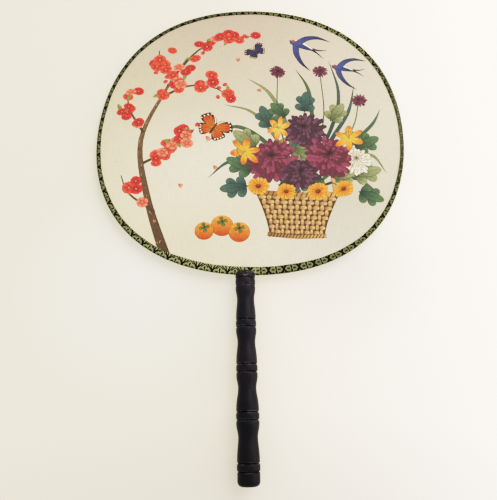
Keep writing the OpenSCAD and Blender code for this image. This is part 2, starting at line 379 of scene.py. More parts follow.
def binding_tape():
    """Brocade tape folded over the hoop, from its seam right of the handle round to the seam again.

    The section's outer skin runs from the lap's edge on the face over the arc to the lap's edge on the
    back, and the inner skin runs back. The UV map holds millimetres: U along the tape, with a repeat of
    the pattern to each REPEAT, and V across it from the row of knots.
    """
    stations, steps = 900, 10
    angle = math.asin(SEAM_AT / FOOT) - math.pi / 2 + np.linspace(0, 2 * math.pi, stations + 1)
    face, back = tape_laps(angle)
    skins = []
    for edge_z, radius in ((LAP_OUT_Z, RIM_R), (LAP_IN_Z, INNER_FOLD_R)):
        face_inset, face_height = fold_side(face, edge_z, radius, steps)
        back_inset, back_height = fold_side(back, edge_z, radius, steps)
        inset = np.concatenate([face_inset, back_inset[:, -2::-1]], 1)
        height = np.concatenate([face_height, -back_height[:, -2::-1]], 1)
        skins.append((inset, height))
    (inset, height), (inner_inset, inner_height) = skins
    length = np.hypot(np.diff(inset, axis=1), np.diff(height, axis=1))
    across = np.concatenate([np.zeros((stations + 1, 1)), np.cumsum(length, 1)], 1)
    across = across[:, steps + 1, None] - across
    across = np.concatenate([across, across[:, ::-1]], 1) - pattern_offset(angle)[:, None]
    inset = np.concatenate([inset, inner_inset[:, ::-1]], 1)
    height = np.concatenate([height, inner_height[:, ::-1]], 1)
    edge, inward = rim_frame(angle)
    flat = on_handle(edge[:, None] + inset[..., None] * inward[:, None])
    points = np.concatenate([flat, height[..., None]], -1)
    middle = on_handle(edge + RIM_R * inward)
    along = np.concatenate([[0], np.cumsum(np.hypot(*np.diff(middle, axis=0).T))])
    columns = inset.shape[1]
    faces = grid_faces(stations + 1, columns, True)
    joined = faces % (stations * columns)
    cut = np.stack([np.repeat(knots_passed(along) * REPEAT, columns), across.ravel()], -1)
    made = mesh_object("binding_tape_cloth", points[:-1].reshape(-1, 3), joined.tolist())
    made.data.uv_layers.new(name="cut").data.foreach_set("uv", cut[faces.ravel()].ravel())
    # Painted shade for the tape, by its place round the hoop.
    store(made, "painted_shade", "POINT", np.repeat(painted_tape_shade(angle[:-1]), columns))
    store(made, "frayed", "POINT", np.arange(stations * columns) < columns)
    open_for_tails(made)
    made.data.set_sharp_from_angle(angle=CREASE)
    made.data.materials.append(brocade())
    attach(made, "root")
    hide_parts("binding_tape")
    return made


def piece(outline, origin, axes, root, tip, form=(0.0, 0.0), half=0.0, rib=0.0):
    """One inked shape of the print: its outline, run anticlockwise, and what its colour needs.

    axes turns a place relative to the origin into (u, v): u runs from root to tip and v is 1 at the
    greatest half width. form holds the powers a and b of a half width u^a (1 - u)^b, half is the greatest
    half width in mm where the edge is drawn in ink, and rib says how strongly a midrib shows.
    """
    return {
        "outline": np.asarray(outline, float),
        "origin": np.asarray(origin, float),
        "axes": np.asarray(axes, float),
        "root": np.array(linear(root)),
        "tip": np.array(linear(tip)),
        "form": form,
        "half": half,
        "rib": rib,
    }


def crest(form):
    """Factor that brings the greatest value of u^a (1 - u)^b to 1."""
    a, b = form
    return (a + b) ** (a + b) / (a**a * b**b)


def petal(base, heading, length, width, root, tip, form=(0.9, 0.45), rib=0.0, line=True, steps=12):
    """Straight petal or leaf whose half width is u^a (1 - u)^b at a share u of its length."""
    a, b = form
    u = (1 - np.cos(np.linspace(0, math.pi, steps + 1))) / 2
    half = u**a * (1 - u) ** b * crest(form) * width / 2
    along = np.array([math.cos(heading), math.sin(heading)])
    side = np.array([-along[1], along[0]])
    middle = np.asarray(base, float) + np.outer(u * length, along)
    right, left = middle - np.outer(half, side), middle + np.outer(half, side)
    axes = np.stack([along / length, side / (width / 2)])
    outline = np.concatenate([right, left[-2:0:-1]])
    return piece(outline, base, axes, root, tip, form, width / 2 if line else 0.0, rib)


def stroke(line, widths, root, tip, ink=True, rib=0.0):
    """Brush stroke along a line of points, one piece a step; the widths are read evenly along it."""
    line = np.asarray(line, float)
    steps = len(line) - 1
    half = np.interp(np.linspace(0, 1, steps + 1), np.linspace(0, 1, len(widths)), widths) / 2
    way = np.gradient(line, axis=0)
    way /= np.linalg.norm(way, axis=1, keepdims=True)
    side = np.stack([-way[:, 1], way[:, 0]], -1) * half[:, None]
    right, left = line - side, line + side
    pieces = []
    for i in range(steps):
        chord = line[i + 1] - line[i]
        mean = (half[i] + half[i + 1]) / 2
        length = np.linalg.norm(chord)
        axes = np.stack([chord / length**2 / steps, np.array([-chord[1], chord[0]]) / length / mean])
        outline = [right[i], right[i + 1], left[i + 1], left[i]]
        pieces.append(piece(outline, line[i] - i * chord, axes, root, tip, (0, 0), mean if ink else 0, rib))
    return pieces


def dot(at, radius, root, tip, line=True):
    """Round spot, dark on one side and light on the other."""
    base = (at[0], at[1] + radius)
    steps = 20 if radius > 4 else 8
    return petal(base, -math.pi / 2, 2 * radius, 2 * radius, root, tip, (0.5, 0.5), line=line, steps=steps)


def curve(points, steps):
    """Smooth line through a few points: cubics that slope at each point as the chord past it does."""
    p = np.asarray(points, float)
    p = np.concatenate([[2 * p[0] - p[1]], p, [2 * p[-1] - p[-2]]])
    t = np.linspace(0, len(points) - 1, steps + 1)
    i = np.minimum(t.astype(int), len(points) - 2)
    f = (t - i)[:, None]
    a, b, c, d = p[i], p[i + 1], p[i + 2], p[i + 3]
    return b + 0.5 * f * (c - a + f * (2 * a - 5 * b + 4 * c - d + f * (3 * b - a - 3 * c + d)))


def placed(pieces, at, turn=0.0, size=1.0, squash=1.0):
    """The same pieces flattened by squash, scaled by size, turned and moved to a place."""
    cos, sin = math.cos(turn), math.sin(turn)
    spin = np.array([[cos, -sin], [sin, cos]]) @ np.diag([size, size * squash])
    back = np.linalg.inv(spin)
    return [
        {
            **part,
            "outline": part["outline"] @ spin.T + at,
            "origin": spin @ part["origin"] + at,
            "axes": part["axes"] @ back,
            "half": part["half"] * size,
        }
        for part in pieces
    ]


def chrysanthemum(rng, radius, inks, layers=6):
    """Full flower seen a little from below: rings of petals, each shorter, paler and higher than the last."""
    pieces = []
    for layer in range(layers):
        share = layer / layers
        count = round(22 - 11 * share)
        reach = radius * (1 - 0.8 * share)
        centre = (0, 0.3 * radius * share)
        for k in rng.permutation(count):
            heading = 2 * math.pi * (k + 0.5 * (layer % 2)) / count + rng.normal(0, 0.07)
            width = 1.6 * math.pi * reach / count * rng.uniform(0.85, 1.12)
            length = reach * rng.uniform(0.84, 1.05)
            tone = inks[1] if rng.random() < 0.7 - 0.5 * share else inks[2]
            pieces.append(petal(centre, heading, length, width, inks[0], tone, (1.1, 0.4), 0.5, steps=8))
    return pieces


def blossom(rng, size, root, tip):
    """Five round petals with a ring of stamens round a yellow heart."""
    turn = rng.uniform(0, 2 * math.pi)
    headings = turn + 2 * math.pi * np.arange(5) / 5
    pieces = [petal((0, 0), h, size, size * 1.02, root, tip, (0.85, 0.3), steps=10) for h in headings]
    for heading in headings + 0.6:
        ray = np.array([math.cos(heading), math.sin(heading)])
        pieces += stroke([ray * 0.05 * size, ray * 0.5 * size], (0.3, 0.3), root, root, ink=False)
    return pieces + [dot((0, 0), 0.13 * size, "e9b84a", "c98a28", line=False)]


def daisy(rng, size, root, tip):
    """Open flower of fifteen narrow petals with a brown button."""
    count, pieces = 15, []
    for k in range(count):
        heading = 2 * math.pi * k / count + rng.normal(0, 0.05)
        reach = size * rng.uniform(0.88, 1.05)
        pieces.append(petal((0, 0), heading, reach, 0.46 * size, root, tip, (0.9, 0.35), 0.6, steps=8))
    return pieces + [dot((0, 0), 0.24 * size, "8a4a1c", "4c2812")]


def lily(size, root, tip):
    """Six pointed petals, three over three, with long stamens."""
    pieces = []
    for k in (1, 3, 5, 0, 2, 4):
        wide = 0.5 if k % 2 else 0.42
        pieces.append(petal((0, 0), k * math.pi / 3, size, wide * size, root, tip, (0.75, 0.6), 0.9))
    for k in range(5):
        heading = 0.5 + 0.3 * k
        end = size * 0.5 * np.array([math.cos(heading), math.sin(heading)])
        stamen = curve([(0, 0), end * 0.6 + (0, 0.05 * size), end], 3)
        pieces += stroke(stamen, (0.5, 0.35), "f4d47a", "e9a23a")
        pieces.append(dot(end, 0.045 * size, "5a2412", "3a160c", line=False))
    return pieces


def lobed_leaf(length, root, tip):
    """Chrysanthemum leaf lying along +X: two pairs of lobes that lean forwards, and one at the tip."""
    pieces = []
    wide = 0.3 * length
    for at, lean, share in ((0.08, 0.95, 0.46), (0.36, 0.75, 0.5)):
        for turn in (-lean, lean):
            pieces.append(petal((at * length, 0), turn, share * length, wide, root, tip, (0.8, 0.45), 1.0))
    return pieces + [petal((0, 0), 0, length, 0.36 * length, root, tip, (0.9, 0.55), 1.0, steps=14)]


def blade(points, width, root, tip):
    """Long grass-like leaf that tapers to its tip."""
    return stroke(curve(points, 30), (0.6 * width, width, 0.85 * width, 0.2), root, tip, rib=0.7)


def butterfly(size, root, tip, spots):
    """Butterfly with its head up: two pairs of rounded wings with dark veins and pale spots at the edge."""
    brown = ("2a1712", "2a1712")
    pieces = []
    for side in (1, -1):
        for lean, reach, wide in ((-0.62, 0.78 * size, 0.74 * size), (0.62, size, 0.72 * size)):
            heading = math.pi / 2 - side * (math.pi / 2 - lean)
            pieces.append(petal((0, 0), heading, reach, wide, *brown, (0.8, 0.25)))
            pieces.append(petal((0, 0), heading, 0.84 * reach, 0.78 * wide, root, tip, (0.8, 0.3)))
            for fan in (-0.34, -0.12, 0.12, 0.34):
                ray = reach * np.array([math.cos(heading + fan), math.sin(heading + fan)])
                pieces += stroke([0.15 * ray, 0.8 * ray], (0.35, 0.5), *brown)
                pieces.append(dot(0.89 * ray, 0.045 * size, spots, spots, line=False))
        feeler = curve(size * np.array([(0, 0.3), (side * 0.12, 0.55), (side * 0.3, 0.7)]), 5)
        pieces += stroke(feeler, (0.45, 0.3), *brown, ink=False)
    body = petal((0, -0.45 * size), math.pi / 2, 0.85 * size, 0.15 * size, "2a1712", "6b4526", (0.5, 0.5))
    return pieces + [body]


def swallow(size):
    """Swallow in flight along +X: long swept wings, a forked tail, a pale belly and a red throat."""
    dark, light = "1d2145", "3f4a82"
    wing = (6, 5, 3, 0.3)
    pieces = stroke(curve([(-9, 0), (-15, 1.5), (-21, 4)], 5), (2.2, 0.3), dark, dark)
    pieces += stroke(curve([(-9, -0.6), (-15, -2), (-20, -5)], 5), (2.2, 0.3), dark, dark)
    pieces += stroke(curve([(5, 1), (1, 9), (-7, 16), (-17, 20)], 9), wing, light, dark, rib=0.6)
    pieces.append(petal((-10, -0.8), 0, 20, 6.4, "e9e2cf", "f2ecdc", (0.9, 0.5)))
    pieces.append(petal((-11, 0.7), 0, 22, 5.2, dark, light, (0.9, 0.4)))
    pieces += stroke(curve([(4, -0.5), (0, -8), (-8, -13), (-19, -14)], 9), wing, light, dark, rib=0.6)
    pieces.append(petal((6.5, -1.2), 0.1, 3.6, 2.6, "b3392a", "d2553c", (0.6, 0.6)))
    pieces.append(petal((9.6, -0.1), -0.05, 2.6, 1.1, dark, "11131f", (0.2, 0.8), steps=4))
    return placed(pieces, (0, 0), size=size)


def basket():
    """Basket of split bamboo: strands over and under each other in a flared body between two rims."""
    gap, dark, light = "4a2f1b", "96693c", "d9b07a"
    half_high, rows, columns = 18, 8, 11
    side = np.linspace(-half_high, half_high, 7)
    heights = -15.6 + 4.3 * np.arange(rows)
    body, inside = (
        foot + 12 * ((y + half_high) / (2 * half_high)) ** 1.4 for foot, y in ((22, side), (21, heights))
    )
    outline = np.concatenate([np.stack([body, side], -1), np.stack([-body, side], -1)[::-1]])
    pieces = [piece(outline, (0, 0), np.eye(2) / 20, gap, gap)]
    for row, (y, wide) in enumerate(zip(heights, inside)):
        reach = wide / columns * 1.15
        for column in range(columns):
            x = wide * (2 * (column + 0.5) / columns - 1)
            if (row + column) % 2:
                strand = petal((x - reach, y), 0, 2 * reach, 3.9, dark, light, (0.35, 0.35), 0.2, steps=6)
            else:
                strand = petal((x, y - 2.7), math.pi / 2, 5.4, 1.3 * reach, dark, light, (0.4, 0.4), steps=6)
            pieces.append(strand)
    for y, wide, thick in ((-18.5, 23.5, 3.6), (18, 35.5, 4.4)):
        rim = curve([(-wide, y + 0.6), (0, y - 0.8), (wide, y + 0.6)], 12)
        pieces += stroke(rim, (thick, thick), "8a5c32", "c4965c")
        for x in np.linspace(-wide, wide, 19)[1:-1]:
            tie = [(x - 1, y - thick / 2), (x + 1, y + thick / 2)]
            pieces += stroke(tie, (0.8, 0.8), gap, gap, ink=False)
    return pieces


def basket_handle():
    """Hoop handle of the basket, 54 mm high, wound with a strip."""
    steps, wind = 32, "4a2f1b"
    turn = np.linspace(math.pi, 0, steps + 1)
    line = np.stack([31 * np.cos(turn), 18 + 54 * np.sin(turn)], -1)
    pieces = stroke(line, (3.6, 3.6), "7d5430", "c59a62")
    for i in range(1, steps):
        way = (line[i + 1] - line[i - 1]) / np.linalg.norm(line[i + 1] - line[i - 1])
        slant = way + 1.7 * np.array([-way[1], way[0]])
        pieces += stroke([line[i] - slant, line[i] + slant], (0.7, 0.7), wind, wind, ink=False)
    return pieces


def blossom_spray(rng):
    """Coral blossoms and buds on a brown branch that climbs the left of the face."""
    bark, print_r = ("4c3626", "7d6045"), 114
    branches = [
        ([(-62, -118), (-82, -66), (-93, -12), (-76, 40), (-60, 74)], (8.5, 5.6, 4.2, 2.6, 1.4), 26),
        ([(-89, -34), (-68, -20), (-56, -2)], (2.6, 0.9), 8),
        ([(-92, -4), (-106, 18), (-110, 38)], (2.4, 0.9), 8),
        ([(-79, 32), (-58, 44), (-36, 44), (-18, 34)], (2.6, 1.6, 0.8), 12),
        ([(-68, 58), (-50, 84), (-26, 98), (-2, 101)], (2.2, 1.4, 0.7), 12),
        ([(-72, 50), (-84, 70), (-86, 82)], (2, 0.8), 7),
        ([(-75, -78), (-98, -62), (-106, -46)], (2.4, 0.8), 8),
    ]
    pieces, clusters = [], []
    for number, (points, widths, steps) in enumerate(branches):
        line = curve(points, steps)
        pieces += stroke(line, widths, *bark, rib=0.5)
        for k in range(1, steps - 1) if number == 0 else ():
            for _ in range(3):
                half = 0.4 * widths[0] * (1 - 0.8 * k / steps)
                spot = line[k] + rng.normal(0, half * 0.45, 2)
                turn = math.atan2(*(line[k + 1] - line[k])[::-1]) + rng.normal(0, 0.25)
                tone = ("2a1c13", "5a4230") if rng.random() < 0.6 else ("8d7052", "a98b68")
                size = (rng.uniform(2.2, 4.4), rng.uniform(0.5, 1))
                mark = petal((-half, 0), 0, *size, *tone, line=False, steps=4)
                pieces += placed([mark], spot, turn)
        start = 0.72 if number == 0 else 0.3
        for share in np.arange(start, 1.001, 0.072 if number == 0 else 0.13):
            clusters.append(line[round(share * steps)])
    for at in clusters:
        for _ in range(3):
            spot = at + rng.normal(0, 4.6, 2)
            if np.hypot(*spot) > print_r:
                continue
            if rng.random() < 0.22:
                bud = [petal((0, 0), 1.2, 4.6, 3.6, "a3242a", "e0574a", (0.6, 0.5), steps=6)]
                pieces += placed(bud, spot, rng.uniform(0, 2 * math.pi))
                continue
            if rng.random() < 0.2:
                leaf = [petal((0, 0), 0, 9, 3.6, "47602c", "8a9a48", (0.8, 0.8), 1.0, steps=6)]
                pieces += placed(leaf, spot, rng.uniform(0, 2 * math.pi))
            root, tip = [("a81c24", "ea5645"), ("8f1626", "d93c3a"), ("bd3a32", "f2866e")][rng.integers(3)]
            flower = blossom(rng, rng.uniform(4.4, 6.0), root, tip)
            pieces += placed(flower, spot, rng.uniform(-0.6, 0.6), 1, rng.uniform(0.72, 1))
    for spot in [(-38, -6), (-30, -34), (-58, -52), (-14, 72), (4, 42)]:
        loose = [petal((0, 0), 0, 4.6, 3.6, "c8392f", "f5917a", (0.85, 0.35), steps=6)]
        pieces += placed(loose, spot, rng.uniform(0, 6))
    return pieces


def flower_basket(rng):
    """Basket of plum chrysanthemums, orange lilies and daisies with long leaves, right of the middle."""
    green = [("16302c", "4f6c4c"), ("1a3434", "42605a"), ("3c4c30", "8e9468")]
    pieces = []
    blades = [
        [(36, -54), (18, -16), (-12, 4), (-38, -12)],
        [(34, -54), (12, -32), (-16, -30), (-34, -46)],
        [(40, -54), (32, 2), (16, 38), (-4, 54)],
        [(44, -54), (52, 2), (50, 42), (38, 66)],
        [(46, -54), (68, -8), (84, 22), (90, 50)],
        [(50, -54), (80, -28), (102, -20), (114, -36)],
        [(48, -54), (84, -12), (104, 10), (112, 26)],
        [(44, -54), (70, 8), (76, 42), (68, 76)],
        [(38, -54), (26, -14), (2, 18), (-24, 26)],
        [(50, -54), (84, -42), (100, -50), (106, -60)],
    ]
    for k, points in enumerate(blades):
        pieces += blade(points, 4.2 - 0.12 * k, *green[k % 3])
    for end, bend in (((22, 62), (24, 10)), ((60, 64), (62, 10)), ((94, 34), (84, 0))):
        pieces += stroke(curve([(42, -50), bend, end], 12), (1.4, 0.8), "2c4424", "6b7f3e")
        bud = chrysanthemum(rng, 7.5, ("3a1226", "702f48", "96486a"), 3)
        pieces += placed(bud, end, rng.uniform(-0.4, 0.4), 1, 0.9)
    leaves = [(4, -38, 2.7, 26), (0, -52, 3.3, 24), (86, -40, 0.3, 25), (90, -54, -0.35, 22)]
    leaves += [(18, 4, 2.0, 24), (68, 12, 1.0, 22), (88, -14, 0.5, 24), (46, 20, 1.5, 22)]
    leaves += [(6, -16, 2.5, 26), (30, 14, 2.3, 20), (44, -6, -1.4, 26), (36, -16, -0.4, 24)]
    leaves += [(60, -40, -2.4, 22), (24, -50, -0.3, 20), (70, -44, 0.4, 20)]
    for k, (x, y, turn, length) in enumerate(leaves):
        pieces += placed(lobed_leaf(length, *green[k % 3]), (x, y), turn)
    pieces += placed(basket_handle(), (40, -76))
    plum = ("2a0d1a", "642840", "8a3f58")
    aubergine = ("22101f", "45263c", "684058")
    cream = ("b98f5e", "efe2c4", "f7efdc")
    for x, y, radius, inks, turn in [
        (46, 2, 20, aubergine, 0.1),
        (88, -26, 15, cream, -0.5),
        (20, -28, 24, plum, 0.3),
        (66, -24, 23, plum, -0.25),
        (43, -40, 17, aubergine, 0.0),
    ]:
        pieces += placed(chrysanthemum(rng, radius, inks), (x, y), turn, 1, 0.92)
    pieces += placed(lily(15, "f2c04a", "dd6420"), (-4, -20), 2.4, 1, 0.8)
    pieces += placed(lily(14, "f2c04a", "e27428"), (84, -4), 0.6, 1, 0.85)
    pieces += placed(lily(12, "f4cc5c", "e8832e"), (24, 4), 1.4, 1, 0.85)
    pieces += placed(basket(), (40, -76))
    for x, y, size in ((8, -52, 9.5), (31, -56, 8.5), (57, -55, 9.5), (78, -52, 9)):
        pieces += placed(daisy(rng, size, "d9631c", "f2a13c"), (x, y), rng.uniform(0, 1), 1, 0.85)
    for x, y, radius in ((-20, -88, 9), (-6, -93, 8.6), (-34, -93, 7.6)):
        pieces.append(dot((x, y), radius, "f0953a", "b9481c"))
        for k in range(4):
            pieces.append(petal((x, y + 0.4 * radius), 0.3 + k * math.pi / 2, 4.6, 3.2, "3b4a22", "6d7a3a"))
    return pieces


def silk_design():
    """Printed design: a basket of flowers, a blossoming branch, butterflies and a pair of swallows."""
    rng = np.random.default_rng(7)
    pieces = blossom_spray(rng) + flower_basket(rng)
    pieces += placed(butterfly(17, "e9822c", "c2481c", "f0e2bd"), (-32, 2), -0.5, 1, 0.9)
    pieces += placed(butterfly(11, "39437e", "1f2550", "d9c89a"), (2, 84), 0.7, 1, 0.85)
    pieces += placed(swallow(1.1), (44, 92), 2.7)
    pieces += placed(swallow(0.95), (81, 68), 2.9)
    return pieces


def without_hidden_edges(points, triangles, top):
    """Triangulates again with only the edges where one shape of the print meets another.

    The shape of each new triangle is that of the old triangle under its middle.
    """
    sides = np.sort(np.concatenate([triangles[:, [0, 1]], triangles[:, [1, 2]], triangles[:, [2, 0]]]), 1)
    shape = np.tile(top, 3)
    order = np.lexsort(sides.T)
    sides, shape = sides[order], shape[order]
    paired = np.all(sides[1:] == sides[:-1], 1)
    inner = np.concatenate([paired, [False]]) | np.concatenate([[False], paired])
    differs = np.concatenate([paired & (shape[1:] != shape[:-1]), [False]])
    kept = sides[differs | ~inner]
    used, kept = np.unique(kept, return_inverse=True)
    corners = [points[i] for i in used.tolist()]
    edges = kept.reshape(-1, 2).tolist()
    fresh, _, faces, _, _, _ = delaunay_2d_cdt(corners, edges, [], 0, MERGED)
    flat, faces = np.array([tuple(p) for p in fresh]), np.array(faces)
    under = BVHTree.FromPolygons([(*p, 0) for p in points], triangles.tolist())
    middles = flat[faces].mean(1).tolist()
    found = [under.find_nearest((*middle, 0))[2] for middle in middles]
    return flat, faces, top[found]


def toned(add, colour, spot, tones):
    """Multiplies a colour by tones, each round a place, fading out evenly to its reach in X and Y, in mm."""
    for at, reach, tone in tones:
        at, reach = (at[0] * MM, at[1] * MM, 0), (reach[0] * MM, reach[1] * MM, 1)
        near = add("Mapping", {"Vector": spot, "Location": at, "Scale": reach}, vector_type="TEXTURE")
        near = add("TexGradient", {"Vector": near}, output="Fac", gradient_type="SPHERICAL")
        inputs = {0: near, 6: colour, 7: (*tone, 1)}
        colour = add("Mix", inputs, 2, data_type="RGBA", blend_type="MULTIPLY")
    return colour


def silk_ink(add, spot):
    """Ink of the shape of the print that a point lies in, and whether it lies in one at all.

    The ink runs from its root to its tip colour with fine streaks along it. A darker line is drawn where
    the shape's own outline formula says that its edge is near, and a rib along its middle.
    """
    blot_size = 2.38
    place = add("UVMap", uv_map="shape_place")
    form, line = (add("Attribute", output="Vector", attribute_name=name) for name in ("form", "line"))
    root, tip = (add("Attribute", attribute_name=name) for name in ("root", "tip"))
    u, v = (add("SeparateXYZ", {0: place}, output=axis) for axis in "XY")
    power, end_power, crest_factor = (add("SeparateXYZ", {0: form}, output=axis) for axis in "XYZ")
    half, midrib, inked = (add("SeparateXYZ", {0: line}, output=axis) for axis in "XYZ")
    along = add("Math", {0: v, 1: 7.0}, operation="MULTIPLY")
    u = add("Clamp", {0: u})
    rest = add("Math", {0: 1.0, 1: u}, operation="SUBTRACT")
    v = add("Math", {0: v}, operation="ABSOLUTE")
    rise = add("Math", {0: u, 1: power}, operation="POWER")
    fall = add("Math", {0: rest, 1: end_power}, operation="POWER")
    shape = add("Math", {0: rise, 1: fall}, operation="MULTIPLY")
    gap = add("Math", {0: shape, 1: crest_factor}, operation="MULTIPLY")
    gap = add("Math", {0: gap, 1: v}, operation="SUBTRACT")
    gap = add("Math", {0: gap, 1: half}, operation="MULTIPLY")
    drawn = add("Math", {0: half, 1: 0.01}, operation="GREATER_THAN")
    near = add("MapRange", {"Value": gap, "From Min": 0.62, "From Max": 0.2})
    outline = add("Math", {0: near, 1: drawn}, operation="MULTIPLY")
    off = add("Math", {0: v, 1: half}, operation="MULTIPLY")
    rib = add("MapRange", {"Value": off, "From Min": 0.4, "From Max": 0.1})
    rib = add("Math", {0: rib, 1: midrib}, operation="MULTIPLY")
    spread = add("CombineXYZ", {0: u, 1: along})
    streak = add("TexNoise", {"Vector": spread, "Scale": 1.6, "Detail": 2.0})
    blend = add("Math", {0: streak, 1: 0.5, 2: u}, operation="MULTIPLY_ADD")
    blend = add("MapRange", {"Value": blend, "From Min": 0.25, "From Max": 1.15})
    ink = add("Mix", {0: blend, 6: root, 7: tip}, 2, data_type="RGBA")
    blot = add("TexNoise", {"Vector": spot, "Scale": 1 / (blot_size * MM), "Detail": 3.0})
    blotted = {"Value": blot, "From Min": 0.3, "From Max": 0.7, "To Min": 0.8, "To Max": 1.2}
    darker = add("Math", {0: outline, 1: -0.72, 2: 1.0}, operation="MULTIPLY_ADD")
    ribbed = add("Math", {0: rib, 1: -0.35, 2: 1.0}, operation="MULTIPLY_ADD")
    for shade in (add("MapRange", blotted), darker, ribbed):
        ink = add("VectorMath", {0: ink, "Scale": shade}, operation="SCALE")
    return ink, inked


def undyed_silk(add, spot):
    """Cream of the bare silk: yellower to the left, clouded, with painted shade to the upper left."""
    cloud_size = 83.3
    cloud = add("TexNoise", {"Vector": spot, "Scale": 1 / (cloud_size * MM), "Detail": 3.0})
    x = add("SeparateXYZ", {0: spot}, output="X")
    across = add("MapRange", {"Value": x, "From Min": -130 * MM, "From Max": 120 * MM})
    cream_across = add("Mix", {0: across, 6: linear("dbd2b4"), 7: linear("cdc6b0")}, 2, data_type="RGBA")
    # Painted shade, deepening towards the upper left.
    corner = add("VectorMath", {0: spot, 1: (-0.7, 0.7, 0)}, output="Value", operation="DOT_PRODUCT")
    fade = {"Value": corner, "From Min": 190 * MM, "From Max": 310 * MM, "To Min": 1, "To Max": 0.84}
    dim = add("Math", {0: cloud, 1: 0.06, 2: add("MapRange", fade)}, operation="MULTIPLY_ADD")
    # Painted light and shade from SILK_TONES.
    return toned(add, add("VectorMath", {0: cream_across, "Scale": dim}, operation="SCALE"), spot, SILK_TONES)


def woven_silk(name, strength):
    """Plain woven cream silk, printed: even threads, slightly slubby, with dyes that sink into them.

    Real threads are 0.1 mm apart, too fine to show, so they are drawn 0.31 mm apart, each for about 11 mm.
    """
    thread, slub = 0.3125, 11.11
    material, add = blank_material(name)
    spot = add("TexCoord", output="Object")
    ink, inked = silk_ink(add, spot)
    printed = add("Math", {0: inked, 1: strength}, operation="MULTIPLY")
    colour = add("Mix", {0: printed, 6: undyed_silk(add, spot), 7: ink}, 2, data_type="RGBA")
    sets = []
    for every in ((slub, thread), (thread, slub)):
        scale = (1 / (every[0] * MM), 1 / (every[1] * MM), 1)
        drawn = add("VectorMath", {0: spot, 1: scale}, operation="MULTIPLY")
        sets.append(add("TexNoise", {"Vector": drawn, "Scale": 1.0, "Detail": 2.0}))
    threads = add("Math", {0: sets[0], 1: sets[1]}, operation="ADD")
    raised = {"Value": threads, "From Min": 0.7, "From Max": 1.3, "To Min": 0.9, "To Max": 1.1}
    woven = add("MapRange", raised)
    colour = add("VectorMath", {0: colour, "Scale": woven}, operation="SCALE")
    bump = add("Bump", {"Height": threads, "Strength": 0.3, "Distance": 0.04 * MM})
    surface = {"Base Color": colour, "Roughness": 0.7, "Specular IOR Level": 0.25, "Normal": bump}
    finish_material(material, add("BsdfPrincipled", surface | {"Sheen Weight": 0.05}))
    return material


def silk_leaf():
    """Flat leaf of silk out to the inner side of the wire, cut into the shapes of its print.

    The outlines of all inked shapes are laid into one flat triangulation, so the leaf stays one sheet.
    Each triangle takes the ink of the topmost shape that it lies in, and each of its corners the place
    (u, v) in that shape, which changes evenly over it.
    """
    stations, shown_through = 240, 0.4
    edge, inward = rim_frame(np.linspace(0, 2 * math.pi, stations, endpoint=False))
    rim = edge + LEAF_INSET * inward
    bare = piece(rim, (0, 0), np.eye(2) / FOOT, "000000", "000000", (1.0, 1.0))
    pieces = [bare] + silk_design()
    counts = np.array([len(p["outline"]) for p in pieces])
    starts = np.concatenate([[0], np.cumsum(counts)])
    corners = [Vector(p) for p in np.concatenate([p["outline"] for p in pieces]).tolist()]
    loops = [list(range(i, j)) for i, j in zip(starts[:-1].tolist(), starts[1:].tolist())]
    points, _, triangles, _, _, owners = delaunay_2d_cdt(corners, [], loops, 1, MERGED)
    top = np.array([max(ids) if 0 in ids else -1 for ids in owners])
    flat, faces, top = without_hidden_edges(points, np.array(triangles)[top >= 0], top[top >= 0])
    points = np.concatenate([on_handle(flat), np.full((len(flat), 1), SILK_T / 2)], 1)
    made = mesh_object("printed_silk", points, faces.tolist(), smooth=False)
    origin = np.array([p["origin"] for p in pieces])[top, None]
    axes = np.array([p["axes"] for p in pieces])[top]
    place = np.einsum("fij,fcj->fci", axes, flat[faces] - origin)
    made.data.uv_layers.new(name="shape_place").data.foreach_set("uv", place.ravel())
    kept = {
        "form": [(*p["form"], crest(p["form"])) for p in pieces],
        "line": [(p["half"], p["rib"], i > 0) for i, p in enumerate(pieces)],
        "root": [p["root"] for p in pieces],
        "tip": [p["tip"] for p in pieces],
    }
    for name, values in kept.items():
        store(made, name, "CORNER", np.repeat(np.array(values)[top], 3, axis=0))
    thick = made.modifiers.new("thickness", "SOLIDIFY")
    thick.thickness = SILK_T * MM
    thick.offset = -1
    thick.material_offset = 1
    thick.material_offset_rim = 1
    made.data.materials.append(woven_silk("printed_silk_face", 0.96))
    made.data.materials.append(woven_silk("printed_silk_back", shown_through))
    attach(made, "root")
    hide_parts("silk_leaf")
    return made


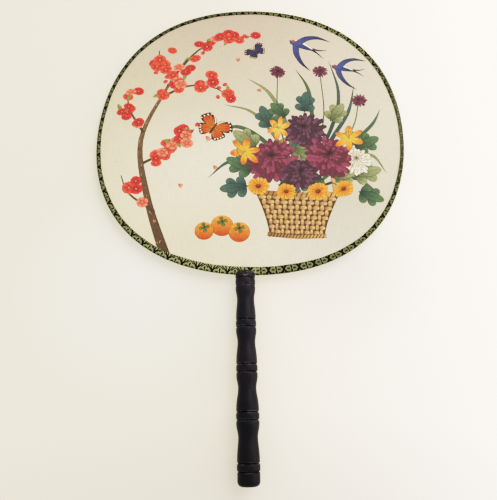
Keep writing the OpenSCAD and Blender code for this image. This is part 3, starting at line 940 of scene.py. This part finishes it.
def glints_and_scuffs(add, spot, height):
    """Painted highlights on the lips of the grooves and the lower edge of the pin's dimple, and the crown's
    scuffs.

    A lip lies 0.62 mm to each side of a groove's middle, and the pin's dimple is a circle round its end.
    """
    lip_at, dimple_r, patch, scuff_size = 0.62, 1.7, 3.85, 1.11
    off = None
    for ring in RINGS:
        gap = add("Math", {0: height, 1: ring * MM}, operation="SUBTRACT")
        gap = add("Math", {0: gap}, operation="ABSOLUTE")
        off = gap if off is None else add("Math", {0: off, 1: gap}, operation="MINIMUM")
    for distance in (RING_W / 2, lip_at):
        off = add("Math", {0: off, 1: distance * MM}, operation="SUBTRACT")
        off = add("Math", {0: off}, operation="ABSOLUTE")
    # Painted highlight on the lips of the grooves, broken up by noise.
    lip = add("MapRange", {"Value": off, "From Min": 0.45 * MM, "From Max": 0.1 * MM})
    patchy = add("TexNoise", {"Vector": spot, "Scale": 1 / (patch * MM), "Detail": 3.0})
    patchy = add("MapRange", {"Value": patchy, "From Min": 0.44, "From Max": 0.7, "To Max": 0.6})
    lip = add("Math", {0: lip, 1: patchy}, operation="MULTIPLY")
    # Painted highlight on the lower edge of the pin's dimple.
    across = add("VectorMath", {0: spot, 1: (0, PIN_Y * MM, 0)}, operation="SUBTRACT")
    across = add("VectorMath", {0: across, 1: (1, 1, 0)}, operation="MULTIPLY")
    dimple = add("VectorMath", {0: across}, output="Value", operation="LENGTH")
    dimple = add("Math", {0: dimple, 1: dimple_r * MM}, operation="SUBTRACT")
    dimple = add("Math", {0: dimple}, operation="ABSOLUTE")
    dimple = add("MapRange", {"Value": dimple, "From Min": 0.55 * MM, "From Max": 0.2 * MM})
    below = {"Value": height, "From Min": (PIN_Y - 0.5) * MM, "From Max": (PIN_Y - 1.2) * MM}
    dimple = add("Math", {0: dimple, 1: add("MapRange", below)}, operation="MULTIPLY")
    crown = add("MapRange", {"Value": height, "From Min": (PIN_Y - 3) * MM, "From Max": PIN_Y * MM})
    scuff = add("TexNoise", {"Vector": spot, "Scale": 1 / (scuff_size * MM), "Detail": 4.0})
    scuff = add("MapRange", {"Value": scuff, "From Min": 0.57, "From Max": 0.68, "To Max": 0.8})
    scuff = add("Math", {0: scuff, 1: crown}, operation="MULTIPLY")
    glint_or_scuff = add("Math", {0: lip, 1: dimple}, operation="MAXIMUM")
    return add("Math", {0: glint_or_scuff, 1: scuff}, operation="MAXIMUM")


def lacquer():
    """Black lacquer brushed on turned hardwood: satin, with fine turning marks round the handle.

    It turns a dark grey towards the crown, and dust lies on all. Painted highlights on the groove lips and
    the lower edge of the pin's dimple, and scuffs at the crown, are a warm grey.
    The turning marks are 0.42 mm apart, and run on for about 7 mm.
    """
    mark, run, cloud_size, grain = 0.41667, 6.6667, 14.3, 2.38
    material, add = blank_material("black_lacquer")
    spot = add("TexCoord", output="Object")
    height = add("SeparateXYZ", {0: spot}, output="Y")
    scale = (1 / (run * MM), 1 / (mark * MM), 1 / (run * MM))
    marks = add("VectorMath", {0: spot, 1: scale}, operation="MULTIPLY")
    marks = add("TexNoise", {"Vector": marks, "Scale": 1.0, "Detail": 3.0})
    cloud = add("TexNoise", {"Vector": spot, "Scale": 1 / (cloud_size * MM), "Detail": 4.0})
    cloud = add("MapRange", {"Value": cloud, "From Min": 0.35, "From Max": 0.65})
    dust = add("TexVoronoi", {"Vector": spot, "Scale": 1 / (grain * MM)})
    dust = add("MapRange", {"Value": dust, "From Min": 0.1, "From Max": 0.05, "To Max": 0.35})
    colour = add("Mix", {0: cloud, 6: linear("0f121a"), 7: linear("18151b")}, 2, data_type="RGBA")
    # The colour is lighter and greyer towards the crown, by height along the handle.
    greyer = {"Value": height, "From Min": 20 * MM, "From Max": 145 * MM, "To Min": 0.9, "To Max": 2.2}
    colour = add("VectorMath", {0: colour, "Scale": add("MapRange", greyer)}, operation="SCALE")
    # Painted highlights and scuffs in a warm grey, then dust.
    for share, tone in ((glints_and_scuffs(add, spot, height), "67656a"), (dust, "5d564e")):
        colour = add("Mix", {0: share, 6: colour, 7: linear(tone)}, 2, data_type="RGBA")
    satin = {"Value": marks, "From Min": 0.3, "From Max": 0.7, "To Min": 0.34, "To Max": 0.5}
    bump = add("Bump", {"Height": marks, "Strength": 0.35, "Distance": 0.05 * MM})
    surface = {"Base Color": colour, "Roughness": add("MapRange", satin), "Normal": bump}
    finish_material(material, add("BsdfPrincipled", surface | {"Specular IOR Level": 0.155}))
    return material


def steel(name, colour):
    """Drawn steel wire, smooth and metallic with a soft gleam."""
    material, add = blank_material(name)
    surface = {"Base Color": linear(colour), "Roughness": 0.35, "Metallic": 1.0}
    finish_material(material, add("BsdfPrincipled", surface))
    return material


def dress_cad_nodes():
    """Gives the model's own pieces their finishes."""
    finishes = {
        "handle": lacquer(),
        "hoop_wire": steel("drawn_steel", "8b8d90"),
        "crown_pin": steel("blackened_steel", "3a3532"),
    }
    for name, material in finishes.items():
        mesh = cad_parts[name].data
        mesh.materials.clear()
        mesh.materials.append(material)


def from_plane(point):
    """Point of the photograph's plane in the fan's own frame, in metres."""
    x, y = point[0] - PLANE_SHIFT[0], point[1] - PLANE_SHIFT[1]
    cos, sin = math.cos(PLANE_TURN), math.sin(PLANE_TURN)
    return Vector((x * cos + y * sin, -x * sin + y * cos, point[2])) * MM


def camera():
    """Camera at the photograph's place, tilted up the fan and turned with it."""
    data = bpy.data.cameras.new("camera")
    data.lens = CAMERA_LENS
    data.clip_start = 0.01
    made = bpy.data.objects.new("camera", data)
    bpy.context.collection.objects.link(made)
    tilt = Matrix.Rotation(CAMERA_TILT, 4, "X")
    turn = Matrix.Rotation(-PLANE_TURN, 4, "Z")
    made.matrix_world = Matrix.Translation(from_plane(CAMERA_AT)) @ turn @ tilt
    bpy.context.scene.camera = made


def floor():
    """Pale board that the fan lies on, touching the handle's crown and the top of the rim.

    It glows a little, and more so to the right: painted light that lifts its shadows, with painted shade in
    its tones.
    """
    size, drop = 3000.0, 0.05
    slope = (REST_FAR[1] - REST_NEAR[1]) / (REST_FAR[0] - REST_NEAR[0])
    y = np.array([-size, size])
    z = REST_NEAR[1] - drop + slope * (y - REST_NEAR[0])
    points = [(-size, y[0], z[0]), (size, y[0], z[0]), (size, y[1], z[1]), (-size, y[1], z[1])]
    made = mesh_object("floor", points, [[0, 1, 2, 3]], smooth=False)
    material, add = blank_material("painted_board")
    spot = add("TexCoord", output="Object")
    x = add("SeparateXYZ", {0: spot}, output="X")
    right = add("MapRange", {"Value": x, "From Min": -35 * MM, "From Max": 200 * MM})
    # Painted light: the board glows, more to the right, and BOARD_TONES add painted shade and a painted
    # shadow.
    glow = add("Mix", {0: right, 6: BOARD_GLOW_LEFT, 7: BOARD_GLOW_RIGHT}, 2, data_type="RGBA")
    surface = {"Base Color": linear("bab6b2"), "Roughness": 0.8, "Emission Strength": 1.0}
    surface["Emission Color"] = toned(add, glow, spot, BOARD_TONES)
    finish_material(material, add("BsdfPrincipled", surface))
    made.data.materials.append(material)


def area_light(name, at, towards, size, power, colour):
    """Square lamp at a place in mm, facing another."""
    data = bpy.data.lights.new(name, "AREA")
    data.shape = "SQUARE"
    data.size = size * MM
    data.energy = power
    data.color = linear(colour)[:3]
    made = bpy.data.objects.new(name, data)
    made.location = Vector(at) * MM
    made.rotation_mode = "QUATERNION"
    made.rotation_quaternion = (Vector(towards) - Vector(at)).to_track_quat("-Z", "Y")
    bpy.context.collection.objects.link(made)


def light():
    """Soft daylight from a window at the upper right and a low one at the right, and an even light all round.

    The photograph's own contrast is kept by a curve: darks a little deeper, and a long shoulder to white.
    """
    world = bpy.data.worlds.new("room")
    world.use_nodes = True
    sky = world.node_tree.nodes["Background"].inputs
    sky["Color"].default_value = linear("fff9f0")
    sky["Strength"].default_value = 0.9
    bpy.context.scene.world = world
    area_light("window", (900, 1100, 1300), (0, 200, 0), 1400, 24, "fffaf2")
    area_light("side_window", (800, 60, 330), (0, 90, 0), 500, 2.2, "fff6ee")
    view = bpy.context.scene.view_settings
    view.view_transform = "Standard"
    view.look = "None"
    view.use_curve_mapping = True
    mapping = view.curve_mapping
    brightest = 2.4
    mapping.white_level = (brightest, brightest, brightest)
    darks = [(0.03, 0.014), (0.08, 0.055), (0.2, 0.19), (0.45, 0.46)]
    shoulder = [(0.8, 0.71), (1.2, 0.86), (1.7, 0.95)]
    for value, shown in darks + shoulder:
        mapping.curves[3].points.new(value / brightest, shown)
    mapping.update()


dress_cad_nodes()
silk_leaf()
binding_tape()
floor()
light()
camera()

bpy.context.view_layer.update()
